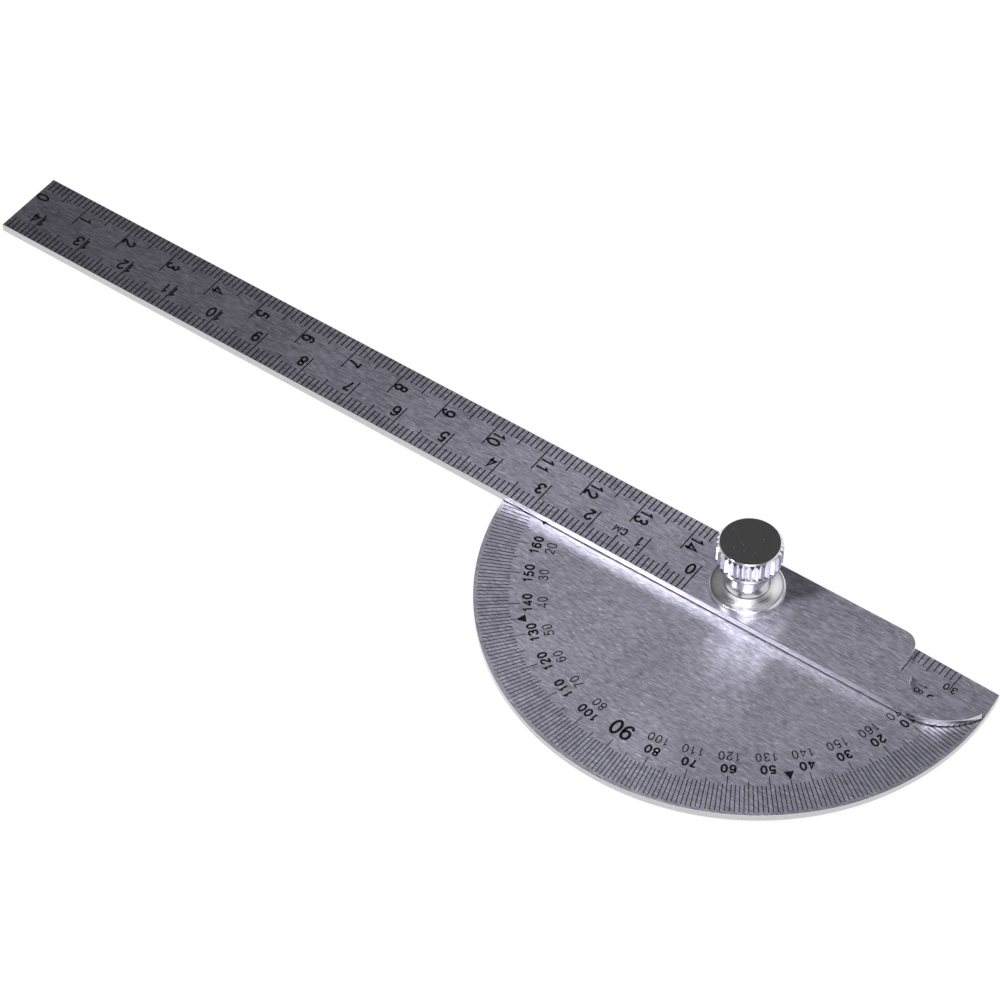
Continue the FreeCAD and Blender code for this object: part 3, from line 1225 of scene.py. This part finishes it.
    def _number_edge(self, cut: Engraving, side: int, value: int) -> None:
        """Write a number of the edge scale, upside down and astride its line.

        Args:
            cut: The engraving.
            side: 1 for the half towards +X, -1 for the other.
            value: The number, in millimetres from the scale's zero.
        """
        text = str(value)
        line = side * (self.edge + value * MM)
        shift = self.edge_numbers.length(text) / 2 if value else -self.zero_shift
        start = (line + shift, self.edge - self.lip - self.edge_drop)
        cut.write(text, self.edge_numbers, start, 180.0)


@dataclass
class Rule:
    """The swinging rule with its reading finger and two centimetre scales."""

    book: FinishBook
    lines: GeometryTree
    shoulder: float = 28.8 * MM
    shoulder_round: float = 3.0 * MM
    finger_radius: float = 11.3 * MM
    finger_centre: float = 34.0 * MM
    notch_radius: float = 2.65 * MM
    notch_centre: float = 34.0 * MM
    bore: float = 2.05 * MM
    lip: float = 0.08 * MM
    # The walls' foot over the head plate gets painted shade, a dark contact line under the blade, which
    # stops short of the tail.
    foot: float = 0.25 * MM
    seam_reach: float = 44.0 * MM
    upper_lines: LineSizes = LineSizes(2.6 * MM, 3.6 * MM, 6.7 * MM, 0.24 * MM)
    lower_lines: LineSizes = LineSizes(2.6 * MM, 3.6 * MM, 6.2 * MM, 0.24 * MM)
    upper_count: int = 143
    lower_count: int = 145
    last_number: int = 14
    second_zero: float = 145.0 * MM
    upper_numbers: Lettering = Lettering(2.2 * MM, 0.44 * MM, 0.6, 0.18)
    upper_middle: float = 4.6 * MM
    upper_gap: float = 0.3 * MM
    zero_gap: float = 0.36 * MM
    lower_numbers: Lettering = Lettering(2.1 * MM, 0.43 * MM, 0.6, 0.22)
    lower_base: float = 8.3 * MM
    lower_gap: float = 0.55 * MM
    astride_shift: float = 0.35 * MM
    unit_letters: Lettering = Lettering(1.3 * MM, 0.32 * MM, 0.7, 0.24)
    unit_along: float = 131.0 * MM
    unit_base: float = 8.5 * MM

    def __post_init__(self) -> None:
        """Read the rule's ends, edges and heights from the frame."""
        low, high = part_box("rule")
        self.tail = low.x
        self.lower = low.y
        self.upper = high.y
        self.low = low.z
        self.high = high.z

    def build(self) -> None:
        """Build the blade and its engraving, and put them in place of the CAD rule."""
        blade = new_piece("rule_blade", self._blade())
        # The blade's third material is painted shade on the foot of its walls.
        dress(blade, "rule", "rule_steel", FACE_STEEL.make(self.book), EDGE_STEEL.make(self.book),
              PAINTED_SHADE_STEEL.make(self.book))
        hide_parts("rule")
        self._engrave()

    def _blade(self) -> bpy.types.Mesh:
        """Make the blade: square tail, rounded shoulder, and notched finger with a round end.

        Returns:
            Its mesh.
        """
        corner = (self.shoulder - self.shoulder_round, self.upper - self.shoulder_round)
        finger = (self.finger_centre, self.lower + self.finger_radius)
        opening = -math.degrees(math.asin(finger[1] / self.finger_radius))
        outline = [
            (self.tail, self.lower), (-self.seam_reach, self.lower),
            *arc(finger, self.finger_radius, -90.0, opening, 28),
            *arc((self.notch_centre, 0.0), self.notch_radius, 0.0, -180.0, 24),
            (self.shoulder, 0.0),
            *arc(corner, self.shoulder_round, 0.0, 90.0, 14),
            (-self.seam_reach, self.upper), (self.tail, self.upper),
        ]
        hole = arc(PIVOT, self.bore, 0.0, 350.0, 35)
        mesh = plate_mesh("rule_blade", outline, hole, self.low, self.high, self.lip, self.foot,
                          self.finger_centre + self.finger_radius)
        smooth(mesh, 25.0)
        return mesh

    def _engrave(self) -> None:
        """Cut the two scales on the rule's top face."""
        ink = BLACK_INK.make(self.book)
        cut = Engraving(self.high)
        for value in range(self.last_number + 1):
            self._number_upper(cut, value)
            self._number_lower(cut, value)
        unit = (self.tail + self.unit_along, self.upper - self.unit_base)
        cut.write("CM", self.unit_letters, unit, 180.0)
        upper = Scale(self.upper_count, (self.tail, self.upper - self.lip), Inward.DOWN,
                      self.upper_lines, first=1, step=MM)
        lower = Scale(self.lower_count, (self.tail + self.second_zero, self.lower + self.lip),
                      Inward.UPWARD, self.lower_lines, step=-MM)
        marks = cut.finish("rule_scales", (upper, lower), self.lines, ink)
        dress(marks, "rule", "rule_steel", ink)

    def _number_upper(self, cut: Engraving, value: int) -> None:
        """Write a number of the upper scale, its top towards the finger, right of its line.

        Args:
            cut: The engraving.
            value: The number, in centimetres from the tail.
        """
        text, style = str(value), self.upper_numbers
        right = self.tail + value * 10 * MM + (self.upper_gap if value else self.zero_gap)
        cut.write(text, style, (right, self.upper - self.upper_middle + style.length(text) / 2), -90.0)

    def _number_lower(self, cut: Engraving, value: int) -> None:
        """Write a number of the lower scale upside down: left of its line, or astride it.

        Args:
            cut: The engraving.
            value: The number, in centimetres from the lower scale's own zero.
        """
        text, style = str(value), self.lower_numbers
        line = self.tail + self.second_zero - value * 10 * MM
        astride = style.length(text) / 2 - self.astride_shift
        start = (line + (-self.lower_gap if value < 10 else astride), self.upper - self.lower_base)
        cut.write(text, style, start, 180.0)


@dataclass
class PivotBolt:
    """The bolt through both plates: a low round head, a square neck and a threaded shank."""

    book: FinishBook
    head_radius: float = 4.5 * MM
    head_bevel: float = 0.35 * MM
    core_radius: float = 1.65 * MM
    thread_radius: float = 2.0 * MM
    pitch: float = 0.7 * MM
    slices: int = 96
    steps: int = 48
    rows_per_turn: int = 10

    def __post_init__(self) -> None:
        """Read the bolt's height and the plate's two faces from the frame."""
        self.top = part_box("pivot_bolt")[1].z
        self.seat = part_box("protractor_head")[0].z
        self.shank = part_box("protractor_head")[1].z

    def build(self) -> None:
        """Build the bolt and put it in place of the CAD bolt."""
        profile = [(0.0, 0.0), (self.head_radius - self.head_bevel, 0.0),
                   (self.head_radius, self.head_bevel), (self.head_radius, self.seat),
                   (self.thread_radius, self.seat), (self.thread_radius, self.shank), (0.0, self.shank)]
        bolt = new_piece("bolt", turned_mesh("bolt", profile, self.slices))
        smooth(bolt.data, 25.0)
        absorb(bolt, [self._thread()])
        dress(bolt, "head", "bolt_steel", BOLT_STEEL.make(self.book))
        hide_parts("pivot_bolt")

    def _thread(self) -> bpy.types.Mesh:
        """Make the shank's thread: a tube whose radius follows the helix, closed at both ends.

        Returns:
            Its mesh.
        """
        solid = bmesh.new()
        rows = round((self.top - self.shank) / self.pitch * self.rows_per_turn)
        rings = []
        for row in range(rows + 1):
            height = self.shank + (self.top - self.shank) * row / rows
            fade = min(1.0, (self.top - height) / self.pitch)
            ring = []
            for step in range(self.steps):
                turn = step / self.steps
                wave = abs(2.0 * ((height / self.pitch - turn) % 1.0) - 1.0)
                radius = self.core_radius + (self.thread_radius - self.core_radius) * wave * fade
                spot = Matrix.Rotation(math.tau * turn, 3, "Z") @ Vector((radius, 0.0, height))
                ring.append(solid.verts.new(spot))
            rings.append(ring)
        skin(solid, rings)
        mesh = to_mesh(solid, "bolt_thread")
        smooth(mesh, 50.0)
        return mesh


@dataclass
class ClampWasher:
    """The bright turned washer with a shallow hollow cone on top."""

    book: FinishBook
    bore: float = 2.05 * MM
    rim: float = 0.75 * MM
    bevel: float = 0.28 * MM
    seat: float = 3.9 * MM
    hollow: float = 1.7
    steps: int = 10
    broken_edge: float = 0.06 * MM

    def build(self) -> None:
        """Build the washer and put it in place of the CAD washer."""
        low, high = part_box("clamp_washer")
        radius = high.x
        edge, foot = radius - self.bevel, low.z + self.rim + self.bevel
        slope = [(edge + (self.seat - edge) * part, foot + (high.z - foot) * part ** self.hollow)
                 for part in (i / self.steps for i in range(self.steps + 1))]
        profile = [(self.bore, low.z), (radius, low.z), (radius, low.z + self.rim), *slope,
                   (self.bore, high.z)]
        washer = new_piece("washer", turned_mesh("washer", profile))
        smooth(washer.data, 25.0)
        bevel_edges(washer, self.broken_edge)
        dress(washer, "washer", "plated_washer", WASHER_PLATE.make(self.book))
        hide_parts("clamp_washer")


@dataclass
class ThumbNut:
    """The knurled thumb nut with its plain collar and blind hole."""

    book: FinishBook
    bore: float = 2.05 * MM
    bore_depth: float = 8.2 * MM
    collar: float = 3.8 * MM
    collar_length: float = 5.3 * MM
    lip: float = 5.2 * MM
    lip_length: float = 0.7 * MM
    groove: float = 4.9 * MM
    groove_length: float = 0.3 * MM
    knurl_length: float = 2.85 * MM
    knurl_depth: float = 0.42 * MM
    crest_land: float = 0.1 * MM
    teeth: int = 34
    bevel_width: float = 0.55 * MM
    bevel_length: float = 0.75 * MM
    crown_edge: float = 0.1 * MM
    # The bands in slot 1 are painted shade: dark lines at the collar's foot, under the lip and in the
    # groove; the first two are this tall.
    seam: float = 0.14 * MM
    seam_bands: tuple[int, ...] = (3, 6, 9)
    broken_edge: float = 0.07 * MM

    def __post_init__(self) -> None:
        """Read the nut's heights and radius from the frame and stack its bands."""
        low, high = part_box("thumb_nut")
        self.low = low.z
        self.top = high.z
        self.crest = high.x
        self.root = self.crest - self.knurl_depth
        self.crown = self.crest - self.bevel_width
        self.lip_low = self.low + self.collar_length
        self.groove_low = self.lip_low + self.lip_length
        self.knurl_low = self.groove_low + self.groove_length
        self.knurl_top = self.knurl_low + self.knurl_length
        self.root_top = self.top - self.bevel_length * (self.root - self.crown) / self.bevel_width

    def build(self) -> None:
        """Build the nut and its knurl, and put them in place of the CAD nut."""
        plate = NUT_PLATE.make(self.book)
        nut = new_piece("nut", turned_mesh("nut", self._profile(), shaded_bands=self.seam_bands))
        smooth(nut.data, 25.0)
        bevel_edges(nut, self.broken_edge)
        # Slot 1 is painted shade: the dark lines at the collar's foot, under the lip and in the groove.
        dress(nut, "nut", "plated_nut", plate, PAINTED_SHADE_STEEL.make(self.book))
        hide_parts("thumb_nut")
        knurl = new_piece("nut_knurl", self._knurl(plate))
        dress(knurl, "nut", "plated_nut", plate)

    def _profile(self) -> list[Point]:
        """Draw the nut's section inside the knurl.

        Returns:
            Its corners; the bands of painted shade, at the collar's foot, under the lip and in the
            groove, start at corners 3, 6 and 9, counted from 0.
        """
        inner = self.low + self.bore_depth
        return [
            (0.0, inner), (self.bore, inner), (self.bore, self.low), (self.collar, self.low),
            (self.collar, self.low + self.seam), (self.collar, self.lip_low), (self.lip, self.lip_low),
            (self.lip, self.lip_low + self.seam), (self.lip, self.groove_low),
            (self.groove, self.groove_low), (self.groove, self.knurl_low), (self.root, self.knurl_low),
            (self.root, self.root_top), (self.crown + self.crown_edge, self.top - self.crown_edge),
            (self.crown, self.top), (0.0, self.top),
        ]

    def _knurl(self, plate: bpy.types.Material) -> bpy.types.Mesh:
        """Make the ring of ridges, each one bevelled off at its top.

        Args:
            plate: The ridges' material.

        Returns:
            The ring's mesh.
        """
        half = math.pi / self.teeth
        land = self.crest_land / 2 / self.crest
        sunk = self.root - self.crest_land
        corners = [(sunk, -half, self.root_top), (self.root, -half, self.root_top),
                   (self.crest, -land, self.knurl_top), (self.crest, land, self.knurl_top),
                   (self.root, half, self.root_top), (sunk, half, self.root_top)]
        spots = [(r * math.cos(a), r * math.sin(a), top) for r, a, top in corners]
        solid = bmesh.new()
        skin(solid, [[solid.verts.new((x, y, self.knurl_low)) for x, y, _ in spots],
                     [solid.verts.new(spot) for spot in spots]])
        bmesh.ops.recalc_face_normals(solid, faces=solid.faces)
        ridge = new_piece("nut_ridge", to_mesh(solid, "nut_ridge"))
        ring = make_ring_tree(ridge).run("nut_knurl", {"Count": self.teeth}, plate)
        bpy.data.objects.remove(ridge)
        return ring


# ---------------------------------------------------------------- the studio


@dataclass(frozen=True)
class SoftPanel:
    """A round soft light far off: its direction, where it fades in degrees, and its strength.

    A negative strength takes light away, as a dark flag does.
    """

    way: Direction
    inner: float
    outer: float
    strength: float

    def glow(self, tree: NodeTree, way: bpy.types.NodeSocket) -> bpy.types.NodeSocket:
        """Work out the panel's light in a direction.

        Args:
            tree: The world's tree.
            way: The direction's socket.

        Returns:
            The light's socket.
        """
        near = tree.vector_math("DOT_PRODUCT", way, Vector(self.way).normalized())
        inner, outer = (math.cos(math.radians(angle)) for angle in (self.inner, self.outer))
        return tree.spread(near, outer, inner, 0.0, self.strength)


@dataclass(frozen=True)
class SoftLamp:
    """A round lamp near the part, turned to the pivot: where it stands, its size and its power."""

    place: Direction
    size: float
    power: float

    def build(self) -> None:
        """Add the lamp."""
        lamp = bpy.data.lights.new("key_lamp", "AREA")
        lamp.shape = "DISK"
        lamp.size = self.size
        lamp.energy = self.power
        place = Vector(self.place)
        turned = place.to_track_quat("Z", "Y").to_matrix().to_4x4()
        new_piece("key_lamp", lamp).matrix_world = Matrix.Translation(place) @ turned


@dataclass
class Studio:
    """The pale floor, the surroundings, the key lamp and the camera."""

    azimuth: float = 35.84
    elevation: float = 49.04
    roll: float = 0.24
    distance: float = 599.5 * MM
    lens: float = 130.09
    aim: Direction = (-43.66 * MM, -7.95 * MM, 3.75 * MM)
    sensor: float = 36.0
    near_clip: float = 0.01
    floor_size: float = 12.0
    floor_grey: float = 0.8
    floor_glow: float = 1.05
    paper: float = 0.86
    room: float = 0.06
    horizon: float = 1.0
    haze: tuple[float, float] = (0.02, 0.16)
    front: tuple[float, float] = (-0.1, -0.6)
    front_rise: float = 0.22
    key: SoftLamp = SoftLamp((-0.335, -0.477, 0.694), 0.18, 2.8)
    panels: tuple[SoftPanel, ...] = (
        SoftPanel((0.76, 0.42, 0.50), 18.0, 30.0, 0.8),
        SoftPanel((-0.02, 0.16, 0.985), 9.0, 16.0, 1.4),
        SoftPanel((0.12, 0.76, 0.64), 10.0, 24.0, 0.95),
        SoftPanel((-0.80, 0.20, 0.57), 12.0, 30.0, 0.18),
        SoftPanel((0.16, -0.30, 0.94), 16.0, 26.0, 1.3),
        SoftPanel((0.384, -0.531, 0.755), 11.0, 18.0, 6.0),
        SoftPanel((0.03, -0.99, 0.12), 6.0, 13.0, -0.95),
    )

    def build(self) -> None:
        """Set up the floor, the surroundings, the key lamp and the camera."""
        self._floor()
        self._sky()
        self.key.build()
        self._camera()
        bpy.context.scene.view_settings.view_transform = "Standard"

    def _floor(self) -> None:
        """Lay a pale floor that keeps a faint shadow and shows as white paper."""
        half = self.floor_size / 2
        mesh = bpy.data.meshes.new("floor")
        corners = [(x, y, 0.0) for x, y in ((-half, -half), (half, -half), (half, half), (-half, half))]
        mesh.from_pydata(corners, [], [(0, 1, 2, 3)])
        floor = new_piece("floor", mesh)
        material = bpy.data.materials.new("pale_floor")
        material.use_nodes = True
        tree = NodeTree(material.node_tree)
        tree.tree.nodes.clear()
        rays = tree.add("ShaderNodeLightPath").outputs
        seen = tree.calculate("MAXIMUM", rays["Is Camera Ray"], rays["Is Glossy Ray"])
        seen = tree.calculate("MAXIMUM", seen, rays["Is Transmission Ray"])
        grey = tree.add("ShaderNodeBsdfDiffuse", {"Color": (*(self.floor_grey,) * 3, 1.0)})
        glow = tree.add("ShaderNodeEmission", {"Color": WHITE, "Strength": self.floor_glow})
        mix = tree.add("ShaderNodeMixShader", {"Fac": tree.times(seen, self.paper)})
        tree.plug(mix.inputs[1], grey.outputs[0])
        tree.plug(mix.inputs[2], glow.outputs[0])
        tree.add("ShaderNodeOutputMaterial", {"Surface": mix.outputs[0]})
        floor.data.materials.append(material)

    def _sky(self) -> None:
        """Make the surroundings: white low down, dark above, with soft panels and a dark flag."""
        world = bpy.data.worlds.new("studio")
        bpy.context.scene.world = world
        world.use_nodes = True
        tree = NodeTree(world.node_tree)
        tree.tree.nodes.clear()
        way = tree.add("ShaderNodeTexCoord").outputs["Generated"]
        _, y, z = tree.axes(way)
        rise = tree.spread(y, *self.front, 0.0, self.front_rise)
        sky = tree.spread(tree.calculate("SUBTRACT", z, rise), *self.haze, self.horizon, self.room)
        for panel in self.panels:
            sky = tree.plus(sky, panel.glow(tree, way))
        sky = tree.calculate("MAXIMUM", sky, self.room / 2)
        seen = tree.add("ShaderNodeLightPath").outputs["Is Camera Ray"]
        level = tree.plus(tree.times(sky, tree.calculate("SUBTRACT", 1.0, seen)), seen)
        back = tree.add("ShaderNodeBackground", {"Color": WHITE, "Strength": level})
        tree.add("ShaderNodeOutputWorld", {"Surface": back.outputs[0]})

    def _camera(self) -> None:
        """Aim the camera, with its small roll."""
        camera = bpy.data.cameras.new("camera")
        camera.sensor_width = self.sensor
        camera.lens = self.lens
        camera.clip_start = self.near_clip
        azimuth, elevation = math.radians(self.azimuth), math.radians(self.elevation)
        level = Vector((math.sin(azimuth), -math.cos(azimuth), 0.0)) * math.cos(elevation)
        back = level + UP * math.sin(elevation)
        right = UP.cross(back).normalized()
        upright = Matrix((right, back.cross(right), back)).transposed().to_4x4()
        turned = upright @ Matrix.Rotation(math.radians(-self.roll), 4, "Z")
        holder = new_piece("camera", camera)
        holder.matrix_world = Matrix.Translation(Vector(self.aim) + back * self.distance) @ turned
        bpy.context.scene.camera = holder


def main() -> None:
    """Build every sub-assembly, then the studio."""
    logging.basicConfig(level=logging.INFO, format="%(name)s: %(message)s")
    book = FinishBook()
    lines = make_tick_tree()
    for assembly in (ProtractorHead(book, lines), Rule(book, lines), PivotBolt(book), ClampWasher(book),
                     ThumbNut(book), Studio()):
        assembly.build()


if __name__ == "__main__":
    main()
